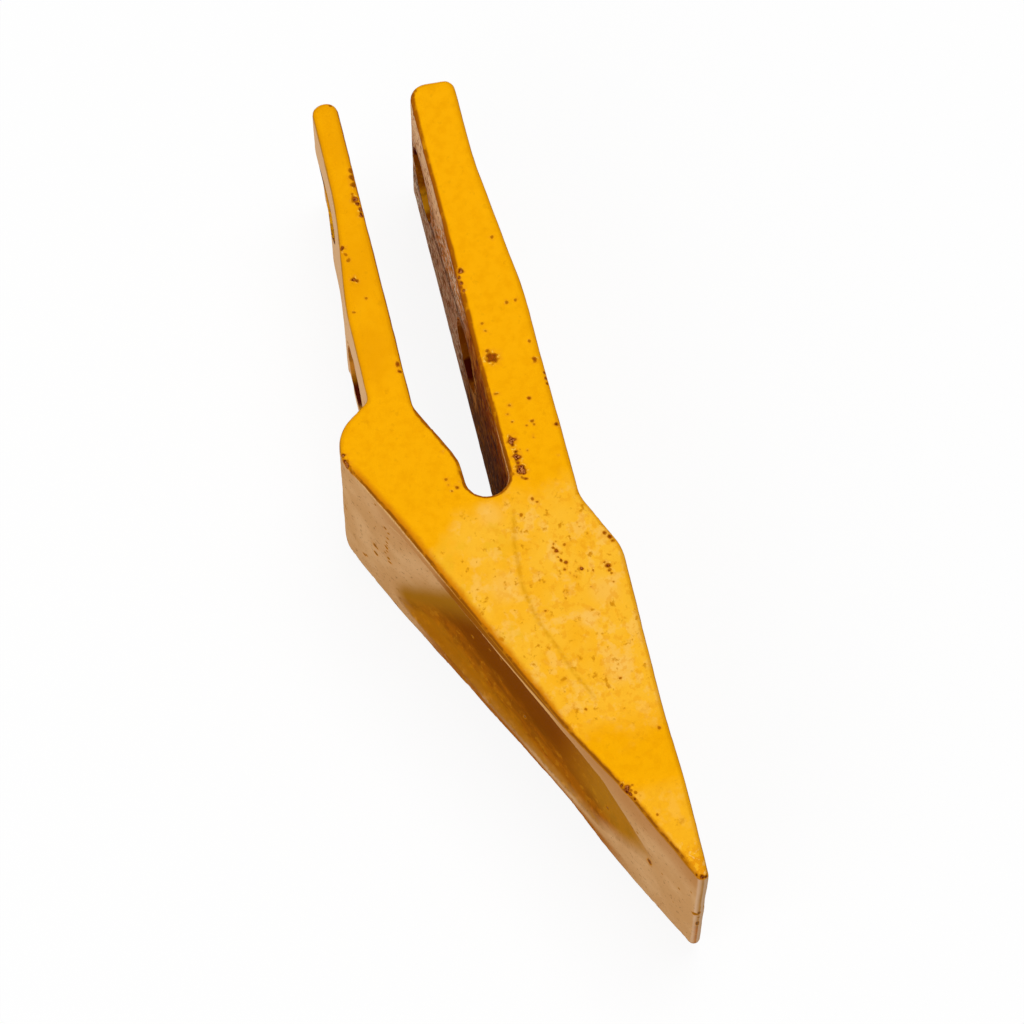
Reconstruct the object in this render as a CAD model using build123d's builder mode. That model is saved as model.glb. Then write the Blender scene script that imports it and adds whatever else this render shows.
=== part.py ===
# Bolt-on bucket tooth: one casting, a scooped wedge with two legs that
# straddle the lip plate. It lies on its side, with its width upright.
#
# X runs along the slot towards the cutting edge, Y from the thin leg to the
# thick leg, Z across the width. The origin is under the middle of the part,
# on the surface that it lies on. Sizes are in millimetres.
import os
from math import atan, cos, degrees, radians, sin, tan

from build123d import *

# length, from the ends of the legs to the cutting edge. Places along it are
# measured from the ends of the legs, or from the cutting edge where they say so.
length = 242.5

# slot for the lip plate, with a sloped bay for the plate's bevelled edge
slot_gap = 20
slot_depth = 126.4
bay_start = 95
bay_slope = 0.44
slot_end_gap = 11.6
bay_start_radius = 8
bay_end_radius = 14

# thick leg, on the tooth's flat side
thick_leg_tip = 13.1
thick_leg_root = 17.2
thick_leg_step_start = 26
thick_leg_step_length = 42
thick_leg_end_slant = 0.7
thick_leg_inner_radius = 5
thick_leg_outer_radius = 3.2

# thin leg, on the tooth's scooped side
thin_leg_tip = 7.4
thin_leg_root = 11.6
thin_leg_step_start = 31.5
thin_leg_step_length = 31
thin_leg_end_radius = 3.4
leg_step_radius = 120

# shoulders, which stand proud of the legs and shield the bolts. Angles are in
# degrees.
flat_side = 34.9
flat_shoulder_start = 131.7
flat_shoulder_angle = 25.4
flat_shoulder_radius = 9
scoop_side = 32.4
scoop_shoulder_start = 90.4
scoop_shoulder_angle = 54.2
scoop_shoulder_root_radius = 2.5
scoop_shoulder_radius = 12.5

# wedge, flat on one side and sloping on the other
wedge_margin_start = 9.4
wedge_start_radius = 8
edge_thickness = 3.15
edge_radius = 1.7

# width, at places along the length. The waist and the flare are measured
# from the cutting edge.
leg_width = 58.4
shoulder_width = 66.4
waist_width = 52
flare_width = 62
edge_width = 58
leg_taper_start = 89
shoulder_ridge = 127
waist_from_edge = 49.5
flare_from_edge = 29.5
leg_taper_radius = 80
shoulder_ridge_radius = 30
waist_radius = 12
flare_radius = 10

# rounding all round both side faces
side_radius = 1.6

# bolt holes, through both legs
bolt_hole_diameter = 21
bolt_hole_first = 17.2
bolt_hole_spacing = 54

# scoop in the sloping face: a tilted trough, a flat ramp at its start and a
# cone that brings it to a point. Angles are in degrees.
scoop_margin_start = 16.6
scoop_margin_edge = 11.9
scoop_radius = 60
scoop_depth = 6.4
scoop_tilt = 2
scoop_ramp = 14
scoop_point_half_angle = 37
scoop_point_dip = 5.5
scoop_blend_radius = 16

half_gap = slot_gap / 2
middle_z = shoulder_width / 2

# Rounding the ridge takes a little off its corner, so that the corner is
# drawn this much higher and the rounded ridge has the shoulder's width
waist = length - waist_from_edge
flare = length - flare_from_edge
rise = atan((shoulder_width - leg_width) / 2 / (shoulder_ridge - leg_taper_start))
fall = atan((shoulder_width - waist_width) / 2 / (waist - shoulder_ridge))
ridge_corner = middle_z + shoulder_ridge_radius * (1 / cos((rise + fall) / 2) - 1)


# the legs, measured from the slot's middle
thick_tip = half_gap + thick_leg_tip
thick_root = half_gap + thick_leg_root
thick_step_end = thick_leg_step_start + thick_leg_step_length
thin_tip = half_gap + thin_leg_tip
thin_root = half_gap + thin_leg_root
thin_step_end = thin_leg_step_start + thin_leg_step_length

# the shoulders rise from the legs at their own angles
flat_shoulder_run = (flat_side - thick_root) / tan(radians(flat_shoulder_angle))
flat_shoulder_end = flat_shoulder_start + flat_shoulder_run
scoop_shoulder_run = (scoop_side - thin_root) / tan(radians(scoop_shoulder_angle))
scoop_shoulder_end = scoop_shoulder_start + scoop_shoulder_run

# the sloping face runs straight from the scoop's shoulder to the edge
wedge_start = scoop_shoulder_end + wedge_margin_start
edge_start = flat_side - edge_thickness
wedge_slope = (edge_start + scoop_side) / (length - wedge_start)

# the point between the leg ends, in the middle of the slot and of the width
mouth = Vector(-length / 2, (scoop_side - flat_side) / 2, middle_z)

# side view, and the view along the slot's depth, seen from the mouth
side_view = Plane(mouth)
plan_view = Plane(mouth, x_dir=(1, 0, 0), z_dir=(0, -1, 0))

# the sloping face as a plane: its origin is where the scoop starts, its X runs down
# towards the cutting edge and its Z points outwards
scoop_start = wedge_start + scoop_margin_start
sloping_face = Plane(
    mouth + Vector(scoop_start, scoop_margin_start * wedge_slope - scoop_side),
    x_dir=(1, wedge_slope, 0),
    z_dir=(wedge_slope, -1, 0),
)
scoop_side_view = Plane(sloping_face.origin, x_dir=sloping_face.x_dir, z_dir=(0, 0, -1))
scoop_length = (length - scoop_margin_edge - scoop_start) / cos(atan(wedge_slope))

# A cone whose apex lies on the face meets it in two straight creases. Its own
# angle follows from the angle of the creases and the dip of its lowest line.
crease = radians(scoop_point_half_angle)
dip = radians(scoop_point_dip)
cone_half_angle = atan((1 / cos(crease) - cos(dip)) / sin(dip))
cone_tilt = degrees(cone_half_angle - dip)


def corner(sketch, x, y):
    """The corner of a sketch that lies nearest to a place."""
    return sketch.vertices().sort_by_distance((x, y))[0]


with BuildPart() as scoop:
    # trough, a cylinder that rises out of the face towards the point
    trough_axis = Pos(0, 0, scoop_radius - scoop_depth) * Rot(0, 90 - scoop_tilt, 0)
    with BuildSketch(sloping_face * trough_axis):
        Circle(scoop_radius)
    extrude(amount=2 * scoop_length, both=True)

    # point, a cone with its apex on the face
    cone_axis = Pos(scoop_length, 0, 0) * Rot(0, 90 + cone_tilt, 0)
    with Locations(sloping_face * cone_axis):
        Cone(
            bottom_radius=2 * scoop_length * tan(cone_half_angle),
            top_radius=0,
            height=2 * scoop_length,
            align=(Align.CENTER, Align.CENTER, Align.MAX),
            mode=Mode.INTERSECT,
        )

    # ramp at the start, straight across the width, drawn from the side
    ramp_fall = tan(radians(scoop_ramp))
    ramp_reach = 1.3 * scoop_length
    mouth_height = scoop_depth
    with BuildSketch(scoop_side_view):
        with BuildLine():
            Polyline(
                (-mouth_height / ramp_fall, mouth_height),
                (ramp_reach, mouth_height),
                (ramp_reach, -ramp_reach * ramp_fall),
                close=True,
            )
        make_face()
    extrude(amount=middle_z, both=True, mode=Mode.INTERSECT)

    # soft changes from the ramp to the trough and from the trough to the point
    ramp_foot = scoop.edges().filter_by(GeomType.ELLIPSE).group_by(Axis.X)[0]
    point_start = scoop.edges().filter_by(GeomType.BSPLINE)
    fillet(ramp_foot, scoop_blend_radius)
    fillet(point_start, scoop_blend_radius)

with BuildPart() as tooth:
    # side view: the wedge, the shoulders, the legs and the slot
    slot_round = slot_end_gap / 2
    bay_edge = half_gap - slot_end_gap
    bay_end = bay_start + (bay_edge + half_gap) / bay_slope
    with BuildSketch(side_view) as side:
        with BuildLine():
            Polyline(
                (slot_depth - slot_round, half_gap),
                (0, half_gap),
                (thick_leg_end_slant, thick_tip),
                (thick_leg_step_start, thick_tip),
                (thick_step_end, thick_root),
                (flat_shoulder_start, thick_root),
                (flat_shoulder_end, flat_side),
                (length, flat_side),
                (length, edge_start),
                (wedge_start, -scoop_side),
                (scoop_shoulder_end, -scoop_side),
                (scoop_shoulder_start, -thin_root),
                (thin_step_end, -thin_root),
                (thin_leg_step_start, -thin_tip),
                (0, -thin_tip),
                (0, -half_gap),
                (bay_start, -half_gap),
                (bay_end, bay_edge),
                (slot_depth - slot_round, bay_edge),
            )
            ThreePointArc(
                (slot_depth - slot_round, bay_edge),
                (slot_depth, bay_edge + slot_round),
                (slot_depth - slot_round, half_gap),
            )
        make_face()
        rounded_corners = (
            (0, half_gap, thick_leg_inner_radius),
            (thick_leg_end_slant, thick_tip, thick_leg_outer_radius),
            (thick_leg_step_start, thick_tip, leg_step_radius),
            (thick_step_end, thick_root, leg_step_radius),
            (flat_shoulder_start, thick_root, flat_shoulder_radius),
            (flat_shoulder_end, flat_side, flat_shoulder_radius),
            (length, flat_side, edge_radius),
            (length, edge_start, edge_radius),
            (wedge_start, -scoop_side, wedge_start_radius),
            (scoop_shoulder_end, -scoop_side, scoop_shoulder_radius),
            (scoop_shoulder_start, -thin_root, scoop_shoulder_root_radius),
            (thin_step_end, -thin_root, leg_step_radius),
            (thin_leg_step_start, -thin_tip, leg_step_radius),
            (0, -thin_tip, thin_leg_end_radius),
            (0, -half_gap, thin_leg_end_radius),
            (bay_start, -half_gap, bay_start_radius),
            (bay_end, bay_edge, bay_end_radius),
        )
        for along, across, radius in rounded_corners:
            fillet(corner(side, along, across), radius)
    extrude(amount=middle_z, both=True)

    # width along the length, the same on both sides
    with BuildSketch(plan_view) as plan:
        with BuildLine():
            Polyline(
                (0, 0),
                (0, leg_width / 2),
                (leg_taper_start, leg_width / 2),
                (shoulder_ridge, ridge_corner),
                (waist, waist_width / 2),
                (flare, flare_width / 2),
                (length, edge_width / 2),
                (length, 0),
                close=True,
            )
        make_face()
        fillet(corner(plan, leg_taper_start, leg_width / 2), leg_taper_radius)
        fillet(corner(plan, shoulder_ridge, ridge_corner), shoulder_ridge_radius)
        fillet(corner(plan, waist, waist_width / 2), waist_radius)
        fillet(corner(plan, flare, flare_width / 2), flare_radius)
        mirror(about=Plane.XZ)
    extrude(amount=flat_side + scoop_side, both=True, mode=Mode.INTERSECT)

    # rounding round both side faces. The lines across the side faces, where
    # the width changes, stay as they are.
    ends = tooth.edges().filter_by(Axis.Y).group_by(Axis.X)
    outline = tooth.edges().filter_by(Axis.Y, reverse=True).filter_by(Axis.Z, reverse=True)
    fillet(outline + ends[0] + ends[-1], side_radius)

    # scoop in the sloping face
    add(scoop.part, mode=Mode.SUBTRACT)

    # bolt holes, through both legs
    with BuildSketch(plan_view):
        with Locations((bolt_hole_first, 0), (bolt_hole_first + bolt_hole_spacing, 0)):
            Circle(bolt_hole_diameter / 2)
    extrude(amount=flat_side + scoop_side, both=True, mode=Mode.SUBTRACT)

tooth.part.label = "tooth"
os.makedirs("parts", exist_ok=True)
export_step(tooth.part, "parts/tooth.step")
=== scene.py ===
# %% [markdown]
# # A worn bucket tooth, cast in one piece and painted yellow
# The tooth is one steel casting: a wedge with a scoop in one face, and two legs that straddle the
# lip of a bucket. The CAD solid gives every main form. What makes it look real is on its skin: paint
# rubbed off along the edges, pits and rust spots, a parting ridge, and grime where the lip sat.
# This script lays a fine skin over the CAD solid, marks that skin, and paints it with one material,
# which also lays painted shade, sheen, highlights and reflection in a few places.
# The frame is in metres: X runs along the tooth with the point at high X, Y across the legs, and Z
# across the width. The tooth lies on one flank, so the other flank faces up to the camera.

import bmesh
import bpy
import numpy as np
from mathutils import Matrix, Vector


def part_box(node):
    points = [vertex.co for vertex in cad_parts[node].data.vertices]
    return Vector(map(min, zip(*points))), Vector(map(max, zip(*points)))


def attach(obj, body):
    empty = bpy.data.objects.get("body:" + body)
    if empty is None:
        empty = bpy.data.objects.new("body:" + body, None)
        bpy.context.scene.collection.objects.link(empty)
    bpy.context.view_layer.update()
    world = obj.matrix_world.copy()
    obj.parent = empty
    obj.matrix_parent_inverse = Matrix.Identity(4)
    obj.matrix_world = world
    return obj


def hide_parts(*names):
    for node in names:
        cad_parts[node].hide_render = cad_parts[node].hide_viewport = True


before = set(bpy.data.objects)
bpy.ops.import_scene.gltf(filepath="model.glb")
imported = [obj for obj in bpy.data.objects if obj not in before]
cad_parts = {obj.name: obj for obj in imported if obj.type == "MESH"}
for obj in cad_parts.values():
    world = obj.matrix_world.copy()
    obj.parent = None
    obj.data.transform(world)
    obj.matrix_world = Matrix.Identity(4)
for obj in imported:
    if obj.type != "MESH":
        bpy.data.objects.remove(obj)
low, high = (np.array(corner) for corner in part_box("tooth"))
MM = 0.001
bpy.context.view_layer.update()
print("tooth, mm:", np.round((high - low) / MM, 2))

# %% [markdown]
# ## The camera
# A camera can be placed by hand or worked out. Here eight corners of the real tooth fix it: a long
# lens a little over a metre away, nearly square to the upper flank, turned so that the legs point up.
# The three directions below are the picture's right, its up, and the way from the tooth to the lens.

# %% Place the camera
VIEW_RIGHT = (0.23358, 0.97233, 0.00376)
VIEW_UP = (-0.90009, 0.21476, 0.37910)
VIEW_BACK = (0.36780, -0.09194, 0.92535)
VIEW_PLACE = (0.47595, -0.109085, 1.23484)
FOCAL_PIXELS, PICTURE_PIXELS, SENSOR = 4750, 1024, 36

lens = bpy.data.cameras.new("camera")
lens.sensor_width = SENSOR
lens.lens = SENSOR * FOCAL_PIXELS / PICTURE_PIXELS
camera = bpy.data.objects.new("camera", lens)
turn = Matrix((VIEW_RIGHT, VIEW_UP, VIEW_BACK)).transposed()
camera.matrix_world = Matrix.Translation(VIEW_PLACE) @ turn.to_4x4()
bpy.context.collection.objects.link(camera)
bpy.context.scene.camera = camera
bpy.context.scene.view_settings.view_transform = "Standard"
print("lens, mm:", round(lens.lens, 1))

# %% [markdown]
# ## The skin
# A CAD mesh has long thin triangles on its flats, and those can't carry a dent or a rust spot.
# Subdividing them keeps them thin. A voxel remesh makes even cells instead, and a shrinkwrap then
# lays them back on the exact CAD surface. The few edges that are sharp in the CAD, such as the rims
# of the bolt holes, are kept crisp by moving the nearest skin points onto them.

# %% Copy the CAD mesh and merge its loose triangles
CELL = 1.12 * MM
SHARP_ANGLE = np.radians(35)


def merged_copy(node_name):
    """The CAD mesh again, with the points that share a place made one."""
    mesh = bpy.data.meshes.new("merged")
    bm = bmesh.new()
    bm.from_mesh(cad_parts[node_name].data)
    bmesh.ops.remove_doubles(bm, verts=bm.verts, dist=1e-6)
    bm.to_mesh(mesh)
    sharp = [e for e in bm.edges if len(e.link_faces) == 2 and e.calc_face_angle() > SHARP_ANGLE]
    ends = np.array([[v.co[:] for v in e.verts] for e in sharp])
    bm.free()
    return bpy.data.objects.new("merged", mesh), ends


def baked(source, name):
    """The object's mesh with its modifiers worked in."""
    shapes = bpy.context.evaluated_depsgraph_get()
    mesh = bpy.data.meshes.new_from_object(source.evaluated_get(shapes), depsgraph=shapes)
    mesh.name = name
    return mesh


guide, sharp_ends = merged_copy("tooth")
bpy.context.collection.objects.link(guide)
skin = guide.copy()
skin.name = "skin"
bpy.context.collection.objects.link(skin)
cells = skin.modifiers.new("cells", "REMESH")
cells.mode = "VOXEL"
cells.voxel_size = CELL
wrap = skin.modifiers.new("wrap", "SHRINKWRAP")
wrap.target = guide
skin_mesh = baked(skin, "tooth_body")
print("sharp CAD edges:", len(sharp_ends), " skin points:", len(skin_mesh.vertices))

# %% [markdown]
# ## Where the marks are
# Each pit, rust spot and chip on the real flank has its own place, so they are listed rather than
# scattered: place along and across the flank, radius, and how strong the mark is, in millimetres.
# The unseen faces get a scattering of the same kind of marks from a fixed random seed.

# %% List the marks
FLANK_MARKS = np.array((
    (-76.5, -19.6, 0.6, 0.8), (-66.7, -18.6, 0.6, 0.8), (-66.0, -17.7, 0.5, 0.6), (-74.3, -19.1, 0.5, 0.35),
    (-72.6, -18.7, 0.5, 0.35), (-90.1, -12.8, 0.8, 0.9), (-88.8, -12.4, 0.6, 0.9), (-85.6, -12.1, 0.4, 0.9),
    (-119.8, -13.1, 0.3, 0.4), (-56.9, -20.6, 0.4, 0.3), (-60.4, -16.4, 0.3, 0.3), (-62.3, 10.4, 0.7, 0.9),
    (-60.7, 9.4, 0.5, 0.9), (-58.8, 9.6, 0.5, 0.9), (-56.5, 9.9, 0.5, 0.9), (-35.2, 12.6, 1.4, 0.6),
    (-37.4, 11.8, 0.5, 0.5), (-31.9, 23.8, 0.7, 0.5), (-25.8, 25.5, 0.4, 0.9), (-24.2, 11.2, 0.5, 0.7),
    (-20.6, 19.5, 0.5, 0.7), (-19.8, 13.9, 0.5, 0.6), (-17.2, 12.8, 0.4, 0.5), (-14.6, 13.4, 0.4, 0.5),
    (-12.9, 16.9, 0.4, 0.3), (-12.7, 18.9, 0.3, 0.3), (-9.0, 17.8, 0.4, 0.3), (-9.3, 11.9, 1.0, 0.9),
    (-6.6, 11.9, 0.5, 0.8), (-4.0, 12.0, 1.0, 0.9), (0.0, 12.2, 1.2, 1.0), (2.2, 12.0, 0.5, 0.9),
    (-50.4, 20.4, 0.4, 0.4), (-50.4, 22.8, 0.4, 0.4), (-37.7, 23.6, 0.4, 0.35), (-70.4, 21.0, 0.5, 0.3),
    (-45.7, 12.4, 0.4, 0.3), (-43.3, 12.8, 0.4, 0.3), (-1.7, 22.9, 0.3, 0.4), (-5.2, 15.2, 0.3, 0.4),
    (8.9, 13.2, 0.5, 0.5), (10.1, 14.1, 0.4, 0.4), (12.6, 9.1, 0.5, 0.4), (17.9, 23.2, 0.4, 0.4),
    (23.7, 30.9, 0.7, 0.7), (22.3, 15.7, 0.5, 0.6), (24.3, 16.1, 0.7, 0.8), (23.0, 18.5, 0.5, 0.6),
    (26.0, 16.2, 0.4, 0.7), (27.8, 17.8, 0.6, 0.8), (29.7, 17.1, 0.5, 0.7), (30.9, 18.2, 0.4, 0.6),
    (30.4, 21.5, 0.6, 0.9), (29.9, 24.1, 0.3, 0.5), (31.4, 24.4, 0.5, 0.6), (31.1, 28.6, 0.8, 0.8),
    (35.9, 28.8, 0.3, 0.5), (35.9, 22.6, 0.4, 0.5), (39.4, 9.5, 0.5, 0.4), (61.7, 24.2, 0.5, 0.6),
    (-1.8, -7.7, 0.5, 0.6), (-0.2, -7.6, 0.4, 0.5), (1.0, -5.6, 0.6, 0.6), (-10.1, -6.5, 0.4, 0.5),
    (67.8, 13.5, 0.4, 0.5), (77.7, 30.8, 0.6, 0.4), (92.3, 16.5, 1.0, 0.95), (92.9, 18.2, 0.9, 0.9),
    (93.8, 17.3, 0.9, 1.0), (101.6, 24.2, 0.4, 0.4), (-14.1, -33.0, 0.6, 0.9), (-11.2, -32.7, 0.7, 0.9),
    (-8.9, -32.3, 0.6, 0.9), (120.6, 31.4, 0.8, 0.8), (119.8, 29.8, 0.7, 0.8), (120.8, 32.6, 0.6, 0.8),
    (-99.0, -11.6, 0.8, 0.45), (-96.9, -11.9, 0.8, 0.5), (-94.7, -12.1, 0.8, 0.5), (-92.1, -13.1, 0.4, 0.3),
    (-86.9, -11.9, 0.6, 0.9), (-85.0, -12.1, 0.5, 0.9), (-39.2, -12.5, 0.6, 0.6), (-37.1, -12.5, 0.5, 0.6),
    (-7.6, 11.9, 0.6, 0.8), (-5.7, 12.0, 0.6, 0.9), (-2.2, 12.0, 0.6, 0.8), (1.1, 12.8, 0.7, 0.8),
    (3.0, 12.9, 0.5, 0.6), (23.3, 15.4, 0.5, 0.6), (21.6, 16.6, 0.4, 0.5), (27.0, 16.7, 0.5, 0.7),
    (31.8, 19.1, 0.4, 0.5), (30.1, 27.7, 0.5, 0.7), (32.5, 28.4, 0.5, 0.6), (22.4, 29.6, 0.7, 0.6),
    (24.8, 31.4, 0.6, 0.7), (-13.7, 18.6, 0.5, 0.5), (-11.3, 24.6, 0.6, 0.7), (-36.6, 26.7, 0.4, 0.4),
    (-27.6, 25.6, 0.4, 0.8), (-24.1, 25.5, 0.4, 0.6), (-0.7, -4.6, 0.4, 0.5), (1.8, -7.1, 0.4, 0.5),
    (-15.9, -32.9, 0.6, 0.9), (-12.8, -32.8, 0.8, 0.9), (-10.2, -32.5, 0.8, 0.9), (-7.5, -31.8, 0.6, 0.8),
    (-5.8, -31.1, 0.5, 0.6), (90.5, 15.3, 0.5, 0.6), (94.8, 18.6, 0.6, 0.8), (96.3, 19.3, 0.5, 0.7),
    (93.2, 16.8, 1.1, 1.0),
))
FLANK_MARKS[:, 2] = np.maximum(FLANK_MARKS[:, 2], 0.42)
FLANK_MARKS[:, 3] = 0.4 + 0.6 * FLANK_MARKS[:, 3]
TIP_MARKS = np.array((
    (121.2, 31.6, 33.6, 0.42, 0.9), (121.2, 31.7, 33.0, 0.42, 0.9), (121.2, 31.6, 32.4, 0.4, 0.9),
    (121.2, 31.6, 24.4, 0.45, 1.0), (121.2, 31.7, 23.7, 0.5, 1.0), (121.2, 31.6, 23.0, 0.5, 1.0),
    (121.2, 31.7, 22.3, 0.42, 1.0), (121.2, 31.7, 29.0, 0.3, 0.8)))
WEDGE_MARKS = np.array((
    (88.8, 41.8, 0.5, 0.5), (99.1, 43.5, 0.5, 0.5), (118.9, 45.3, 0.4, 0.4), (113.5, 22.5, 0.3, 0.4),
    (-6.8, 12.9, 0.6, 0.6), (-3.5, 50.6, 0.3, 0.4), (-1.4, 44.8, 0.3, 0.4), (3.7, 49.9, 0.5, 0.5),
    (2.8, 42.6, 0.5, 0.6), (2.2, 33.6, 0.5, 0.5), (3.7, 29.2, 0.6, 0.6), (11.6, 41.5, 0.4, 0.3),
    (12.6, 54.6, 0.4, 0.3), (3.2, 46.0, 0.6, 0.5), (2.6, 38.5, 0.7, 0.6), (2.9, 36.0, 0.5, 0.5),
    (3.3, 31.5, 0.6, 0.6), (3.0, 40.5, 0.4, 0.5), (-5.9, 14.2, 0.5, 0.6), (-1.0, 61.0, 0.4, 0.4),
))
PARTING_LINE = np.array((
    (9.5, 7.7), (20.0, 5.6), (31.5, 4.9), (36.0, 5.6), (42.0, 6.8), (50.0, 10.1), (56.0, 12.1),
    (64.0, 15.8), (68.0, 17.2)))
BLEACHED = ((37.6, 26.1, 5.5), (10.8, 1.2, 5.0), (59.5, 24.2, 5.5), (44.0, 20.0, 4.0), (31.0, 0.5, 6.0))
WEDGE_SLOPE, WEDGE_OFFSET = 0.4755, -27.25
MID_WIDTH = (low[2] + high[2]) / 2 / MM

wedge_spots = np.column_stack((
    WEDGE_MARKS[:, 0], WEDGE_SLOPE * WEDGE_MARKS[:, 0] + WEDGE_OFFSET, WEDGE_MARKS[:, 1:]))


def half_width(along):
    """Half the tooth's width at places along it: straight lines between the widths of the casting."""
    return np.interp(along, (-121, -31, 6, 72, 92, 121), (29.2, 29.2, 33.2, 26.0, 31.0, 29.0))


flank_spots = np.column_stack((
    FLANK_MARKS[:, :2], MID_WIDTH + half_width(FLANK_MARKS[:, 0]) - 0.3, FLANK_MARKS[:, 2:]))
print("marks on the upper flank:", len(flank_spots), " on the wedge face:", len(wedge_spots))

# %% Scatter marks over the faces that the main view doesn't show
rng = np.random.default_rng(11)
points = np.empty((len(skin_mesh.vertices), 3))
skin_mesh.vertices.foreach_get("co", points.ravel())
points /= MM
hidden = np.flatnonzero(points[:, 2] < MID_WIDTH + 24)
picked = rng.choice(hidden, 90, replace=False)
random_spots = np.column_stack((
    points[picked], rng.uniform(0.3, 1.0, 90) ** 1.5, rng.uniform(0.35, 1.0, 90)))
strong = np.repeat(flank_spots[flank_spots[:, 4] > 0.8], 2, axis=0)
turns = rng.uniform(0, 2 * np.pi, len(strong))
shift = strong[:, 3] * rng.uniform(1.3, 3.2, len(strong))
satellites = strong.copy()
satellites[:, 0] += shift * np.cos(turns)
satellites[:, 1] += shift * np.sin(turns)
satellites[:, 3] *= rng.uniform(0.25, 0.6, len(strong))
satellites[:, 4] *= rng.uniform(0.35, 0.75, len(strong))
flank_spots[:, 3] *= np.where(flank_spots[:, 0] > 15, 1.0, 1.2)
spots = np.vstack((flank_spots, satellites, wedge_spots, TIP_MARKS, random_spots))
print("all marks:", len(spots))

# %% [markdown]
# ## Finer cells at the marks
# Most marks are smaller than a cell of the skin. Halving the cells all over would take four times
# the triangles, so only the cells under a mark are halved, twice, and those under the parting ridge
# once. Faces that end up with more than four corners are cut into triangles.

# %% Refine the skin under the marks
def refine(mesh, centres, reach):
    """Cuts in half every edge whose middle lies within reach of a centre, all in millimetres."""
    bm = bmesh.new()
    bm.from_mesh(mesh)
    corners = np.empty((len(mesh.vertices), 3))
    mesh.vertices.foreach_get("co", corners.ravel())
    ends = np.empty((len(mesh.edges), 2), dtype=int)
    mesh.edges.foreach_get("vertices", ends.ravel())
    middles = corners[ends].mean(axis=1) / MM
    near = np.zeros(len(middles), dtype=bool)
    for centre, radius in zip(centres, np.broadcast_to(reach, len(centres))):
        near |= ((middles - centre) ** 2).sum(axis=1) < radius ** 2
    bm.edges.ensure_lookup_table()
    chosen = [bm.edges[i] for i in np.flatnonzero(near)]
    bmesh.ops.subdivide_edges(bm, edges=chosen, cuts=1, use_grid_fill=True)
    bmesh.ops.triangulate(bm, faces=[f for f in bm.faces if len(f.verts) > 4])
    bm.to_mesh(mesh)
    bm.free()


steps = np.linspace(PARTING_LINE[0, 0], PARTING_LINE[-1, 0], 64)
ridge_path = np.column_stack((
    steps, np.interp(steps, *PARTING_LINE.T), MID_WIDTH + half_width(steps)))
centres = np.vstack((spots[:, :3], ridge_path))
reach = np.concatenate((spots[:, 3] * 1.3 + 1.0, np.full(len(ridge_path), 1.5)))
refine(skin_mesh, centres, reach)
refine(skin_mesh, spots[:, :3], spots[:, 3] * 1.3 + 0.5)
print("skin points:", len(skin_mesh.vertices))

# %% Lay the skin back on the CAD surface and snap it to the sharp edges
def laid_on(mesh, target, method):
    """The places of the mesh's points once each is moved to the nearest place on the target."""
    carrier = bpy.data.objects.new("carrier", mesh)
    bpy.context.collection.objects.link(carrier)
    wrap = carrier.modifiers.new("wrap", "SHRINKWRAP")
    wrap.target = target
    wrap.wrap_method = method
    moved = baked(carrier, "moved")
    places = np.empty((len(moved.vertices), 3))
    moved.vertices.foreach_get("co", places.ravel())
    bpy.data.objects.remove(carrier)
    bpy.data.meshes.remove(moved)
    return places


along_edge = np.linspace(0, 1, 9)[:, None, None]
samples = (sharp_ends[:, 0] * (1 - along_edge) + sharp_ends[:, 1] * along_edge).reshape(-1, 3)
rim_mesh = bpy.data.meshes.new("rims")
rim_mesh.from_pydata(samples.tolist(), [], [])
rims = bpy.data.objects.new("rims", rim_mesh)
bpy.context.collection.objects.link(rims)

on_surface = laid_on(skin_mesh, guide, "NEAREST_SURFACEPOINT")
on_rim = laid_on(skin_mesh, rims, "NEAREST_VERTEX")
to_rim = np.linalg.norm(on_rim - on_surface, axis=1)
places = np.where((to_rim < 0.5 * CELL)[:, None], on_rim, on_surface)
skin_mesh.vertices.foreach_set("co", places.ravel())
skin_mesh.update()
print("points snapped to sharp edges:", int((to_rim < 0.5 * CELL).sum()))

# %% [markdown]
# ## Wear cut into the skin
# A casting is never flat: sand leaves low hills, edges are knocked, spots rust into pits. All of it
# only takes metal away, so every point moves inwards along its normal. The parting ridge is the one
# thing that stands up. Each effect is a depth for all points at once, and the depths are added.

# %% Work out the wear
def wave_noise(where, wavelength, seed, count=28):
    """Low hills: the sum of sine waves in fixed random directions, scaled to about -1 to 1."""
    draw = np.random.default_rng(seed)
    ways = draw.normal(size=(count, 3))
    ways *= draw.uniform(0.7, 1.4, (count, 1)) / np.linalg.norm(ways, axis=1, keepdims=True)
    phase = draw.uniform(0, 2 * np.pi, count)
    return np.sin(where @ ways.T * (2 * np.pi / wavelength) + phase).sum(axis=1) / np.sqrt(2 * count)


def smooth(x, start, end):
    """A soft step: 0 before start, 1 after end, and a cubic S between them."""
    t = np.clip((x - start) / (end - start), 0, 1)
    return t * t * (3 - 2 * t)


here = places / MM
facing = np.empty((len(here), 3))
skin_mesh.vertices.foreach_get("normal", facing.ravel())
grit = wave_noise(here, 1.6, 3)
rust = np.zeros(len(here))
halo = np.zeros(len(here))
pit = np.zeros(len(here))
for x, y, z, radius, strength in spots:
    away = np.linalg.norm(here - (x, y, z), axis=1) / (radius * (1 + 0.28 * grit))
    rust = np.maximum(rust, strength * (1 - smooth(away, 0.65, 1.3)))
    halo = np.maximum(halo, strength * (1 - smooth(away, 1.0, 2.0)))
    pit = np.maximum(pit, 0.32 * radius * strength * (1 - smooth(away, 0.2, 1.1)))

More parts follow.
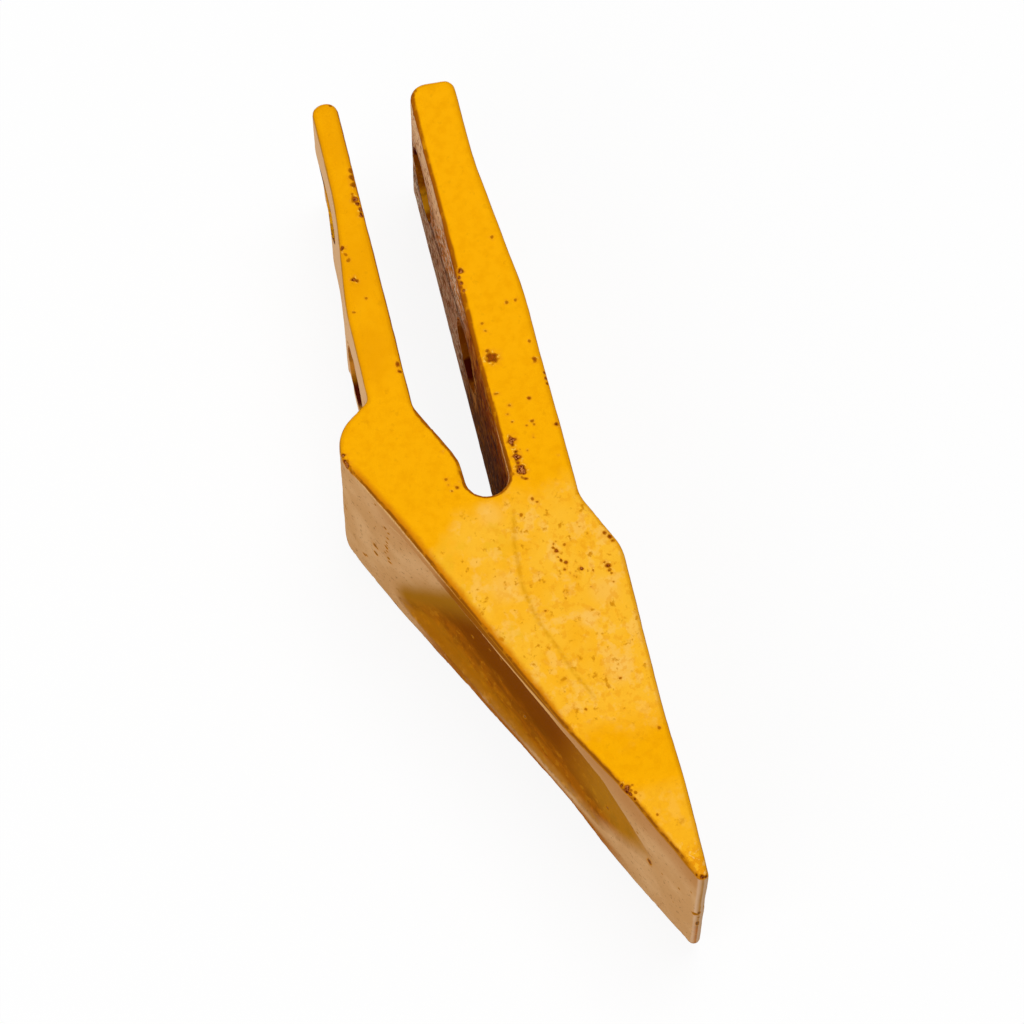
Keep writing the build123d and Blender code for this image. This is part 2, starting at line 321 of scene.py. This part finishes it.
bleach = np.zeros(len(here))
for x, y, radius in BLEACHED:
    bleach += 1 - smooth(np.hypot(here[:, 0] - x, here[:, 1] - y) / radius, 0.2, 1)
upper = smooth(facing[:, 2], 0.7, 0.9)
line_gap = here[:, 1] - np.interp(here[:, 0], *PARTING_LINE.T)
ridge_ends = smooth(here[:, 0], 9, 13) * (1 - smooth(here[:, 0], 64, 67))
ridge = upper * ridge_ends * np.exp(-(line_gap / 0.55) ** 2) * smooth(grit, -1.4, 0.2)
print("share of points with rust:", round(float((rust > 0.3).mean()), 3))

# %% Knock the edges and move the skin
edge_zone = smooth(np.abs(facing[:, 2]), 0.12, 0.45) * (1 - smooth(np.abs(facing[:, 2]), 0.93, 0.97))
knocks = 0.16 * edge_zone * smooth(wave_noise(here, 6.5, 5), 0.35, 1.3)
hills = 0.07 * (1 + wave_noise(here, 17, 8)) + 0.03 * (1 + wave_noise(here, 4.5, 9))
tip_wear = 0.12 * smooth(here[:, 0], 105, 121) * (1 + wave_noise(here, 16, 12)) * (1 - upper)
depth = np.clip(hills, 0, None) + knocks + pit + np.clip(tip_wear, 0, 0.5) - 0.22 * ridge
places = places - facing * depth[:, None] * MM

THIN_LEG_STEP, THIN_LEG_FACE = (-89.75, -58.75), (-18.65, -22.85)
end_rub = 2.3 * (1 - smooth(here[:, 2], 6, 48)) * (1 - smooth(here[:, 0], -116, -96))
root_rub = 1.1 * (1 - smooth(here[:, 2], 8, 26)) * smooth(here[:, 0], -65.5, -63.5)
rubbed_face = np.interp(here[:, 0], THIN_LEG_STEP, THIN_LEG_FACE) + end_rub + root_rub
rubbed_face = np.where(end_rub + root_rub > 0.02, rubbed_face, -100)
on_thin_leg = (here[:, 0] < -27) & (here[:, 1] < -13)
places[:, 1] = np.where(on_thin_leg, np.maximum(places[:, 1], rubbed_face * MM), places[:, 1])
places = np.clip(places, low, high)
skin_mesh.vertices.foreach_set("co", places.ravel())
skin_mesh.update()
for name, values in (("rust", rust), ("halo", halo), ("ridge", ridge), ("bleach", bleach)):
    skin_mesh.attributes.new(name, "FLOAT", "POINT").data.foreach_set("value", values.astype(np.float32))
skin_mesh.shade_smooth()
skin_mesh.set_sharp_from_angle(angle=np.radians(55))
print("deepest wear, mm:", round(float(depth.max()), 2))

# %% Make the skin the tooth's visible piece
bpy.data.objects.remove(skin)
bpy.data.objects.remove(guide)
bpy.data.objects.remove(rims)
body = bpy.data.objects.new("tooth_body", skin_mesh)
bpy.context.collection.objects.link(body)
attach(body, "root")
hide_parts("tooth")
skin_mesh.calc_loop_triangles()
print("triangles:", len(skin_mesh.loop_triangles))

# %% [markdown]
# ## Painting with masks
# One material paints the whole casting. Each finish, such as yellow paint, tan rubbed faces or brown
# grime, has a colour, and a mask says where it lies. Some masks lay painted shade, sheen, highlights
# or reflection in the same way. Masks come from places on the tooth, from which way the surface
# faces, from the marks stored in the skin, and from noise that breaks them up. The small class below
# only shortens the writing of nodes: every method makes one node and returns its output.

# %% A short hand for shader nodes
def linear(red, green, blue):
    """A colour given as a screen shows it, 0 to 255, in the shader's linear numbers."""
    c = np.array((red, green, blue)) / 255
    return (*np.where(c <= 0.04045, c / 12.92, ((c + 0.055) / 1.055) ** 2.4), 1.0)


class Nodes:
    """Makes nodes in one tree; an argument is a number, a vector or another node's output."""

    def __init__(self, tree):
        self.tree = tree

    def make(self, kind, inputs=(), output=0, **settings):
        made = self.tree.nodes.new(kind)
        for name, value in settings.items():
            setattr(made, name, value)
        for socket, value in dict(inputs).items():
            if isinstance(value, bpy.types.NodeSocket):
                self.tree.links.new(value, made.inputs[socket])
            else:
                made.inputs[socket].default_value = value
        return made.outputs[output] if made.outputs else made

    def math(self, operation, a, b=0.0, c=0.0):
        return self.make("ShaderNodeMath", {0: a, 1: b, 2: c}, operation=operation)

    def both(self, first, *others):
        """Masks multiplied: what lies in all of them."""
        for other in others:
            first = self.math("MULTIPLY", first, other)
        return first

    def step(self, value, start, end, low=0.0, high=1.0):
        """A soft step from low to high as value goes from start to end."""
        return self.make("ShaderNodeMapRange", {0: value, 1: start, 2: end, 3: low, 4: high},
                         interpolation_type="SMOOTHSTEP")

    def band(self, value, start, end, soft):
        """1 between start and end, with soft sides."""
        return self.both(self.step(value, start - soft, start + soft),
                         self.step(value, end + soft, end - soft))

    def dot(self, vector, direction):
        return self.make("ShaderNodeVectorMath", {0: vector, 1: direction}, 1, operation="DOT_PRODUCT")

    def mix(self, mask, under, over):
        """The colour over laid on the colour under where the mask is 1."""
        return self.make("ShaderNodeMix", {0: mask, 6: under, 7: over}, 2, data_type="RGBA")

    def noise(self, vector, scale, detail=2.0, rough=0.5):
        return self.make("ShaderNodeTexNoise",
                         {"Vector": vector, "Scale": scale, "Detail": detail, "Roughness": rough})

    def attribute(self, name):
        return self.make("ShaderNodeAttribute", output=2, attribute_name=name)


print("node helpers:", [name for name in dir(Nodes) if not name.startswith("_")])

# %% [markdown]
# ## Two effects as node groups
# Fine speckle and long scrape streaks turn up in more than one finish, so each is a node group with
# named inputs and one mask as output. Speckle is the top of a noise cut off at a level. Streaks are
# the same, in a space squeezed along the tooth, which pulls every dot out into a line.

# %% Speckle and streak groups
def mask_group(name, squeeze):
    """Noise above a level becomes a mask. Squeeze scales the space, so a small number draws lines."""
    tree = bpy.data.node_groups.new(name, "ShaderNodeTree")
    tree.interface.new_socket("Place", in_out="INPUT", socket_type="NodeSocketVector")
    for label, value in (("Scale", 1.0), ("Level", 0.6), ("Softness", 0.04)):
        socket = tree.interface.new_socket(label, in_out="INPUT", socket_type="NodeSocketFloat")
        socket.default_value = value
    tree.interface.new_socket("Mask", in_out="OUTPUT", socket_type="NodeSocketFloat")
    nodes = Nodes(tree)
    given = tree.nodes.new("NodeGroupInput").outputs
    squeezed = nodes.make("ShaderNodeVectorMath", {0: given["Place"], 1: squeeze}, operation="MULTIPLY")
    noise = nodes.noise(squeezed, given["Scale"], 3.0, 0.6)
    top = nodes.math("ADD", given["Level"], given["Softness"])
    mask = nodes.step(noise, given["Level"], top)
    out = tree.nodes.new("NodeGroupOutput")
    tree.links.new(mask, out.inputs["Mask"])
    return tree


speckle_group = mask_group("speckle", (1.0, 1.0, 1.0))
streak_group = mask_group("streaks", (0.12, 0.12, 1.0))


def group_mask(nodes, tree, place, scale, level, softness=0.04):
    """One use of a mask group in a material."""
    used = nodes.tree.nodes.new("ShaderNodeGroup")
    used.node_tree = tree
    nodes.tree.links.new(place, used.inputs["Place"])
    for name, value in (("Scale", scale), ("Level", level), ("Softness", softness)):
        used.inputs[name].default_value = value
    return used.outputs["Mask"]


print("groups:", speckle_group.name, streak_group.name)

# %% [markdown]
# ## The paint
# The flanks carry sprayed yellow. The band between shoulder and waist and the point are a paler
# yellow; on the band this is painted sheen, where that facet catches the light differently. Faces that
# meet the earth or the lip are a pinkish tan, partly rubbed paint and partly painted reflection, and
# the scoop keeps a dark orange with painted shade on its near wall. Long roundings are orange, from
# rubbed paint along the wedge edge and painted shade on every rounding. Places are read in millimetres.

# %% Places and directions on the tooth
paint = bpy.data.materials.new("worn_yellow_paint")
paint.use_nodes = True
paint.node_tree.nodes.clear()
n = Nodes(paint.node_tree)
object_place = n.make("ShaderNodeTexCoord", output="Object")
place = n.make("ShaderNodeVectorMath", {0: object_place, "Scale": 1 / MM}, operation="SCALE")
normal = n.make("ShaderNodeNewGeometry", output="Normal")
along = n.dot(place, (1, 0, 0))
across = n.dot(place, (0, 1, 0))
width = n.dot(place, (0, 0, 1))
WEDGE_WAY = np.array((WEDGE_SLOPE, -1, 0)) / np.hypot(WEDGE_SLOPE, 1)
wedge_gap = n.math("ADD", n.dot(place, tuple(-WEDGE_WAY)), -WEDGE_OFFSET * -WEDGE_WAY[1])
faces_wedge = n.dot(normal, tuple(WEDGE_WAY))
faces_up = n.math("ABSOLUTE", n.dot(normal, (0, 0, 1)))
cloud = n.noise(place, 0.09, 3.0)
patch = n.noise(place, 0.35, 4.0, 0.6)
grain = n.noise(place, 2.2, 3.0, 0.65)
print("wedge direction:", np.round(WEDGE_WAY, 3))

# %% Yellow flanks
YELLOW = linear(251, 175, 2)
YELLOW_DEEP = linear(243, 165, 0)
YELLOW_PALE = linear(251, 186, 44)
YELLOW_DRY = linear(250, 200, 104)
DUST = linear(208, 134, 0)

flank = n.mix(n.step(patch, 0.4, 0.7, 0, 0.8), YELLOW, YELLOW_DEEP)
thin_leg = n.both(n.step(across, -8, -11), n.step(along, -30, -40))
flank = n.mix(n.both(thin_leg, n.step(cloud, 0.3, 0.6, 0.3, 0.9)), flank, linear(240, 162, 0))
reach = n.math("MULTIPLY_ADD", cloud, 22, n.math("MULTIPLY_ADD", n.math("MINIMUM", across, 4), 0.6, along))
# The band between shoulder and waist is painted a paler yellow as painted sheen, for that facet catching the light
# differently.
middle = n.band(reach, 20, 87, 6)
point = n.both(n.step(along, 92, 96), 0.45)
pale = n.math("MAXIMUM", middle, point)
pale_amount = n.both(pale, n.step(cloud, 0.3, 0.62, 0.45, 1.0))
flank = n.mix(pale_amount, flank, YELLOW_PALE)
flank = n.mix(n.both(n.attribute("bleach"), 0.5), flank, linear(248, 190, 88))
dry = n.both(pale, group_mask(n, speckle_group, place, 0.22, 0.5, 0.14), 0.4)
flank = n.mix(dry, flank, YELLOW_DRY)
green = n.both(pale, group_mask(n, speckle_group, place, 0.13, 0.54, 0.12), n.step(across, 10, -2), 0.45)
flank = n.mix(green, flank, linear(236, 176, 22))
dust = n.both(pale, group_mask(n, speckle_group, place, 0.5, 0.52, 0.1), n.step(across, -6, 8, 0.15, 0.42))
flank = n.mix(dust, flank, linear(234, 152, 14))
dots = n.both(group_mask(n, speckle_group, place, 0.42, 0.6, 0.12), n.step(pale, 0, 1, 0.25, 0.9))
flank = n.mix(dots, flank, DUST)
tip_end = n.step(along, 108, 117)
flank = n.mix(n.both(tip_end, group_mask(n, speckle_group, place, 0.4, 0.46, 0.08), 0.7), flank, linear(230, 142, 6))
# The pale specks at the end of the point are painted highlights.
flank = n.mix(n.both(tip_end, group_mask(n, speckle_group, place, 0.65, 0.58, 0.06), 0.7), flank, linear(255, 214, 120))
print("flank colour, linear:", np.round(YELLOW, 3))

# %% Rubbed faces and painted reflection
TAN = linear(238, 186, 128)
TAN_DARK = linear(216, 156, 92)

# The pinkish tan is partly worn paint and partly painted reflection, for the pale light that the grazing side faces
# reflect.
tan = n.mix(n.both(n.step(cloud, 0.3, 0.65), 0.6), TAN, TAN_DARK)
tan = n.mix(n.both(group_mask(n, speckle_group, place, 1.1, 0.6, 0.1), 0.3), tan, linear(160, 100, 50))
tan = n.mix(n.both(group_mask(n, speckle_group, place, 0.7, 0.62, 0.05), 0.5), tan, linear(150, 92, 40))
near_wedge = n.both(n.step(width, 44, 60), n.step(faces_wedge, 0.5, 0.8), n.step(along, -8, 10))
tan = n.mix(n.both(near_wedge, 0.7), tan, linear(206, 138, 74))
# The end face of the point is painted a lighter tan as painted light, because it faces the light more than the wedge
# face.
tip_face_painted_light = n.both(n.step(n.dot(normal, (1, 0, 0)), 0.55, 0.8), n.step(along, 116, 119))
tan = n.mix(n.both(tip_face_painted_light, 0.7), tan, linear(246, 204, 164))
# The thin leg's outer face is painted a lighter tan as painted light, for light that falls on that side.
outer_leg_painted_light = n.both(n.step(across, -10.5, -12.5), n.step(along, -26, -34))
tan = n.mix(outer_leg_painted_light, tan, linear(255, 204, 150))
faces_back = n.both(n.step(n.dot(normal, (0, 1, 0)), 0.3, 0.6), n.step(across, 12, 16))
kept_paint = n.both(faces_back, n.step(n.math("ADD", cloud, n.step(along, 20, 118, 0.0, 0.3)), 0.62, 0.5), n.step(along, 118, 112))
tan = n.mix(kept_paint, tan, flank)
not_flank = n.step(faces_up, 0.5, 0.25)
colour = n.mix(not_flank, flank, tan)
print("tan, linear:", np.round(TAN, 3))

# %% Scoop
SCOOP_ORANGE = linear(204, 112, 4)
SCOOP_OLIVE = linear(182, 120, 22)
SCOOP_SHADE = linear(138, 70, 0)

start_line = n.math("SUBTRACT", along, n.math("MULTIPLY_ADD", width, 0.63))
start_line = n.math("ADD", start_line, 5.6)
wavy = n.math("MULTIPLY_ADD", n.noise(n.make("ShaderNodeVectorMath", {0: place, 1: (0.35, 0.35, 1)},
                                             operation="MULTIPLY"), 0.3, 3.0, 0.6), 16)
in_scoop = n.both(n.step(wedge_gap, 0.3, 1.6), n.step(faces_wedge, 0.2, 0.5), n.step(start_line, -5, 5))
# The near wall of the scoop is painted dark brown as painted shade, for the shade that falls there under the light from
# above.
shaded = n.step(n.math("ADD", width, wavy), 22, 33)
shaded = n.both(shaded, n.step(along, 92, 58))
scoop_colour = n.mix(shaded, SCOOP_ORANGE, SCOOP_SHADE)
streaks = group_mask(n, streak_group, place, 0.45, 0.5, 0.2)
scoop_colour = n.mix(n.both(streaks, 0.6), scoop_colour, linear(146, 76, 2))
blotches = n.both(group_mask(n, speckle_group, place, 0.26, 0.5, 0.12), n.step(shaded, 1, 0.2))
scoop_colour = n.mix(n.both(blotches, 0.5), scoop_colour, linear(132, 62, 2))
sparks = n.both(group_mask(n, speckle_group, place, 0.4, 0.55, 0.1), n.step(shaded, 1, 0.2))
scoop_colour = n.mix(n.both(sparks, 0.55), scoop_colour, linear(226, 146, 24))
scoop_colour = n.mix(n.both(n.step(along, 62, 84), n.step(width, 16, 26), 0.75), scoop_colour, linear(196, 134, 26))
scoop_colour = n.mix(n.step(start_line, 16, 4), scoop_colour, SCOOP_OLIVE)
colour = n.mix(in_scoop, colour, scoop_colour)
far_rim = n.both(n.step(width, 12, 8), n.band(along, 18, 92, 8), n.step(faces_wedge, 0.1, 0.4),
                 n.step(patch, 0.3, 0.5, 0.45, 1.0))
colour = n.mix(far_rim, colour, linear(186, 108, 20))
print("scoop, linear:", np.round(SCOOP_ORANGE, 3))

# %% Slot and bolt holes
SLOT_GREY = linear(222, 178, 142)
SLOT_BROWN = linear(222, 148, 70)
SLOT_RUST = linear(168, 82, 4)
SLOT_DARK = linear(143, 86, 8)
SLOT_BLACK = linear(84, 36, 6)
HOLE_SHADE = linear(92, 24, 4)
HOLE_LIT = linear(255, 182, 24)
FLAKE = linear(255, 186, 80)

in_slot = n.both(n.step(along, 12, 8), n.band(across, -10.6, 10.4, 0.4), n.step(faces_up, 0.5, 0.3))
# The slot wall changes from grey to brown along a dark line: a painted shadow edge.
from_shadow_edge = n.math("SUBTRACT", n.math("SUBTRACT", width, n.math("MULTIPLY", along, 0.445)), 71.5)
from_shadow_edge = n.math("ADD", from_shadow_edge, n.math("MULTIPLY", patch, 6))
slot_colour = n.mix(n.step(from_shadow_edge, 3, 7), SLOT_GREY, SLOT_BROWN)
slot_colour = n.mix(group_mask(n, speckle_group, place, 0.55, 0.5, 0.06), slot_colour, linear(255, 240, 214))
slot_colour = n.mix(n.both(group_mask(n, speckle_group, place, 0.4, 0.52, 0.06), 0.8), slot_colour, SLOT_DARK)
slot_colour = n.mix(n.both(n.band(from_shadow_edge, 0.0, 3.0, 1.6), n.step(grain, 0.4, 0.5)), slot_colour, SLOT_BLACK)
slot_colour = n.mix(n.both(n.step(width, 58, 61), n.step(patch, 0.3, 0.5)), slot_colour, SLOT_RUST)
deep_slot = n.step(along, -60, -44)
rusty = n.mix(n.step(n.math("ADD", width, n.math("MULTIPLY", patch, 44)), 48, 76), SLOT_DARK, SLOT_RUST)
rusty = n.mix(n.both(group_mask(n, speckle_group, place, 0.3, 0.5, 0.08), 0.8), rusty, linear(206, 134, 40))
rusty = n.mix(n.both(group_mask(n, speckle_group, place, 0.24, 0.54, 0.08), 0.85), rusty, SLOT_BLACK)
slot_colour = n.mix(deep_slot, slot_colour, rusty)
flakes = n.both(n.band(along, -45, -38, 1.5), n.band(width, 22, 42, 4), group_mask(n, speckle_group, place, 0.5, 0.44, 0.06))
slot_colour = n.mix(flakes, slot_colour, linear(255, 192, 100))
bright_strip = n.both(n.step(n.math("MULTIPLY_ADD", width, -0.5, along), -104, -112), n.step(width, 40, 50))
slot_colour = n.mix(bright_strip, slot_colour, linear(255, 218, 170))
bright_specks = n.both(bright_strip, group_mask(n, speckle_group, place, 0.6, 0.56, 0.05))
slot_colour = n.mix(bright_specks, slot_colour, linear(170, 96, 30))
colour = n.mix(in_slot, colour, slot_colour)

HOLE_RADIUS, HOLES = 10.5, (-104.05, -50.05)
rear, front = (n.math("POWER", n.math("SUBTRACT", along, x), 2) for x in HOLES)
from_axis = n.math("ADD", n.math("MINIMUM", rear, front),
                   n.math("POWER", n.math("SUBTRACT", width, MID_WIDTH), 2))
in_hole = n.step(n.math("SQRT", from_axis), HOLE_RADIUS + 0.9, HOLE_RADIUS + 0.3)
# Inside the bolt holes the bore is painted dark as painted shade, and the wall facing up is painted bright yellow as
# painted light.
lit_wall = n.both(n.step(n.dot(normal, (0, 0, 1)), 0.1, 0.7), n.step(along, -60, -80), n.step(patch, 0.66, 0.48, 0.5, 1.0))
hole_colour = n.mix(lit_wall, HOLE_SHADE, HOLE_LIT)
hole_colour = n.mix(n.band(along, -70, -56, 2), hole_colour, SLOT_BROWN)
hole_flakes = n.both(n.step(along, -48, -43), group_mask(n, speckle_group, place, 0.5, 0.42, 0.1))
hole_colour = n.mix(hole_flakes, hole_colour, FLAKE)
colour = n.mix(in_hole, colour, hole_colour)
print("hole, linear:", np.round(HOLE_SHADE, 3))

# %% Worn roundings, rust spots and the parting ridge
EDGE_ORANGE = linear(212, 128, 6)
EDGE_BROWN = linear(168, 96, 6)
RUST_EDGE = linear(190, 116, 2)
RUST_DARK = linear(88, 26, 2)
RUST_RED = linear(158, 74, 8)
RUST_PALE = linear(206, 134, 70)
HALO = linear(226, 140, 22)

# Every rounding is painted half way to a deeper orange by the way it faces: painted shade.
rounding_painted_shade = n.band(faces_up, 0.3, 0.93, 0.05)
edge_line = n.both(n.band(faces_up, 0.2, 0.6, 0.1), n.step(patch, 0.3, 0.5, 0.4, 0.9))
colour = n.mix(n.both(rounding_painted_shade, 0.5), colour, linear(236, 156, 2))
colour = n.mix(n.both(edge_line, 0.5), colour, linear(150, 92, 16))
slot_edge = n.both(n.band(across, -11.6, 11.2, 0.3), n.step(along, 14, 11), n.band(faces_up, 0.2, 0.93, 0.05))
colour = n.mix(n.both(slot_edge, n.step(patch, 0.3, 0.5, 0.5, 1.0)), colour, linear(168, 92, 4))
band_gap = n.math("ADD", wedge_gap, n.math("MULTIPLY_ADD", patch, 1.6, n.step(along, 60, 76, 0.0, 1.2)))
beside = n.both(n.step(band_gap, 4.0, 1.8), n.step(along, -16, -8),
                n.step(faces_up, 0.25, 0.6))
colour = n.mix(beside, colour, EDGE_ORANGE)
colour = n.mix(n.both(beside, edge_line), colour, EDGE_BROWN)
wedge_round = n.both(n.step(faces_wedge, 0.12, 0.3), n.step(along, -18, -10), n.step(width, 40, 50), n.step(along, 118, 114))
brown_line = n.both(wedge_round, n.band(faces_up, 0.52, 0.86, 0.08), n.step(patch, 0.34, 0.5, 0.35, 1.0))
colour = n.mix(brown_line, colour, linear(150, 84, 8))
cream_line = n.both(wedge_round, n.band(faces_up, 0.12, 0.42, 0.08), n.step(grain, 0.4, 0.55, 0.3, 1.0),
                    n.step(along, 34, 24))
colour = n.mix(cream_line, colour, linear(246, 196, 130))
rim_strip = n.both(n.step(width, 46, 50), n.step(faces_wedge, 0.9, 0.97), n.step(wedge_gap, 1.0, 0.4),
                   n.band(along, 24, 68, 5))
colour = n.mix(rim_strip, colour, n.mix(n.step(width, 58.2, 57.2), EDGE_BROWN, linear(246, 186, 112)))
colour = n.mix(n.both(n.attribute("ridge"), 0.75), colour, linear(220, 152, 6))
halo = n.attribute("halo")
rust_mask = n.attribute("rust")
colour = n.mix(n.both(halo, 0.6), colour, HALO)
flecks = n.both(n.step(halo, 0.35, 0.7), n.step(rust_mask, 0.3, 0.1), n.step(faces_up, 0.7, 0.9),
                group_mask(n, speckle_group, place, 1.1, 0.56, 0.08), 0.8)
colour = n.mix(flecks, colour, linear(255, 208, 80))
rust_colour = n.mix(n.step(grain, 0.42, 0.56), RUST_DARK, RUST_RED)
rust_colour = n.mix(n.both(n.step(rust_mask, 0.82, 0.97), n.step(grain, 0.45, 0.6)), rust_colour, RUST_PALE)
rust_colour = n.mix(n.both(not_flank, 0.75), rust_colour, linear(150, 108, 66))
colour = n.mix(n.step(rust_mask, 0.06, 0.4), colour, RUST_EDGE)
rust_depth = n.math("MULTIPLY_ADD", grain, 0.7, rust_mask)
colour = n.mix(n.step(rust_depth, 0.86, 1.16), colour, rust_colour)
print("rust, linear:", np.round(RUST_DARK, 3))

# %% Put the material together
fine = n.math("MULTIPLY", n.noise(place, 1.1, 5.0, 0.7), 1.0)
height = n.math("ADD", fine, n.both(rust_mask, -0.6))
relief = n.make("ShaderNodeBump", {"Strength": 0.45, "Distance": 0.18 * MM, "Height": height})
rough = n.step(patch, 0.3, 0.7, 0.42, 0.6)
rough = n.math("MAXIMUM", rough, n.both(not_flank, 0.72))
rough = n.math("MAXIMUM", rough, n.both(rust_mask, 0.9))
shader = n.make("ShaderNodeBsdfPrincipled", {
    "Base Color": colour, "Roughness": rough, "Normal": relief,
    "Specular IOR Level": 0.012})
n.make("ShaderNodeOutputMaterial", {"Surface": shader})
skin_mesh.materials.append(paint)
print("nodes in the paint:", len(paint.node_tree.nodes))

# %% [markdown]
# ## Floor and light
# The tooth lies on a pale floor under soft light from large lamps and an even sky, so colours come
# out about as they are written. The floor adds a little light of its own for the camera only, which
# makes it white and leaves the shadow under the tooth.

# %% Floor
FLOOR_HALF = 3.0
floor_mesh = bpy.data.meshes.new("floor")
corners = [(x * FLOOR_HALF, y * FLOOR_HALF, 0) for x, y in ((-1, -1), (1, -1), (1, 1), (-1, 1))]
floor_mesh.from_pydata(corners, [], [(0, 1, 2, 3)])
floor = bpy.data.objects.new("floor", floor_mesh)
bpy.context.collection.objects.link(floor)

pale_floor = bpy.data.materials.new("pale_floor")
pale_floor.use_nodes = True
pale_floor.node_tree.nodes.clear()
f = Nodes(pale_floor.node_tree)
glow = f.make("ShaderNodeEmission", {"Color": (1, 1, 1, 1), "Strength": 1.0})
ray = f.tree.nodes.new("ShaderNodeLightPath").outputs
seen = f.math("MAXIMUM", ray["Is Camera Ray"], f.math("MAXIMUM", ray["Is Glossy Ray"], ray["Is Transmission Ray"]))
floor_colour = f.mix(ray["Is Camera Ray"], (0.5, 0.5, 0.5, 1), (0.96, 0.96, 0.96, 1))
matte = f.make("ShaderNodeBsdfDiffuse", {"Color": floor_colour})
blend = f.make("ShaderNodeMixShader", {0: f.both(seen, 0.9), 1: matte, 2: glow})
f.make("ShaderNodeOutputMaterial", {"Surface": blend})
floor_mesh.materials.append(pale_floor)
print("floor half size, m:", FLOOR_HALF)

# %% Sky and lamps
world = bpy.data.worlds.new("sky")
bpy.context.scene.world = world
world.use_nodes = True
world.node_tree.nodes.clear()
w = Nodes(world.node_tree)
even = w.make("ShaderNodeBackground", {"Color": (1, 1, 1, 1), "Strength": 0.4})
white = w.make("ShaderNodeBackground", {"Color": (1, 1, 1, 1), "Strength": 1.0})
ray = w.tree.nodes.new("ShaderNodeLightPath").outputs
seen = w.math("MAXIMUM", ray["Is Camera Ray"], w.math("MAXIMUM", ray["Is Glossy Ray"], ray["Is Transmission Ray"]))
w.make("ShaderNodeOutputWorld", {"Surface": w.make("ShaderNodeMixShader", {0: seen, 1: even, 2: white})})


def lamp(name, place, size, watts):
    """A square lamp at that place, turned to the tooth."""
    light = bpy.data.lights.new(name, "AREA")
    light.size = size
    light.energy = watts
    made = bpy.data.objects.new(name, light)
    made.location = place
    made.rotation_euler = Vector(place).to_track_quat("Z", "Y").to_euler()
    bpy.context.collection.objects.link(made)
    return made


lamps = [lamp("key", (-0.3, 0.35, 1.7), 0.9, 14.5), lamp("fill", (0.7, -1.0, 0.9), 1.0, 7)]
print("lamps:", [item.name for item in lamps])
